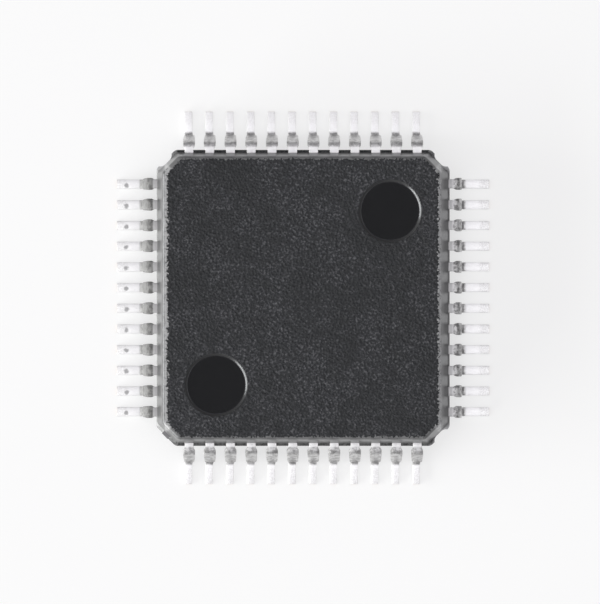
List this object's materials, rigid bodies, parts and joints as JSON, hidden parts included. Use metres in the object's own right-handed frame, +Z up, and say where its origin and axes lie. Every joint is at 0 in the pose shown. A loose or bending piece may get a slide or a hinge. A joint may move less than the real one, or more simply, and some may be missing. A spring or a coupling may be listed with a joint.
{
  "type": "quad flat pack chip",
  "caption": "Square low-profile moulded chip package with gull-wing leads on all four sides, chamfered corners and two round ejector marks in its top face.",
  "frame": {"origin": "middle of the package in plan, on the seating plane under the feet of the leads", "axes": "+Z up out of the board, +X to the right and +Y to the rear as the top face is seen with its whole lower corner at the left front"},
  "size_m": [0.009, 0.009, 0.0015],
  "materials": {
    "mould": "matte charcoal epoxy with fine grain; the ejector marks are smooth",
    "leads": "tin-plated copper alloy, satin",
    "frame_metal": "bare copper alloy",
    "adhesive": "silver-filled epoxy",
    "silicon": "polished silicon",
    "wire": "bright gold"
  },
  "bodies": {
    "root": {"mould_body": "mould", "die_pad": "frame_metal", "die_attach": "adhesive", "die": "silicon", "bond_wires_left": "wire", "bond_wires_front": "wire", "bond_wires_right": "wire", "bond_wires_back": "wire", "lead_01": "leads", "lead_02": "leads", "lead_03": "leads", "lead_04": "leads", "lead_05": "leads", "lead_06": "leads", "lead_07": "leads", "lead_08": "leads", "lead_09": "leads", "lead_10": "leads", "lead_11": "leads", "lead_12": "leads", "lead_13": "leads", "lead_14": "leads", "lead_15": "leads", "lead_16": "leads", "lead_17": "leads", "lead_18": "leads", "lead_19": "leads", "lead_20": "leads", "lead_21": "leads", "lead_22": "leads", "lead_23": "leads", "lead_24": "leads", "lead_25": "leads", "lead_26": "leads", "lead_27": "leads", "lead_28": "leads", "lead_29": "leads", "lead_30": "leads", "lead_31": "leads", "lead_32": "leads", "lead_33": "leads", "lead_34": "leads", "lead_35": "leads", "lead_36": "leads", "lead_37": "leads", "lead_38": "leads", "lead_39": "leads", "lead_40": "leads", "lead_41": "leads", "lead_42": "leads", "lead_43": "leads", "lead_44": "leads", "lead_45": "leads", "lead_46": "leads", "lead_47": "leads", "lead_48": "leads"}
  },
  "joints": []
}
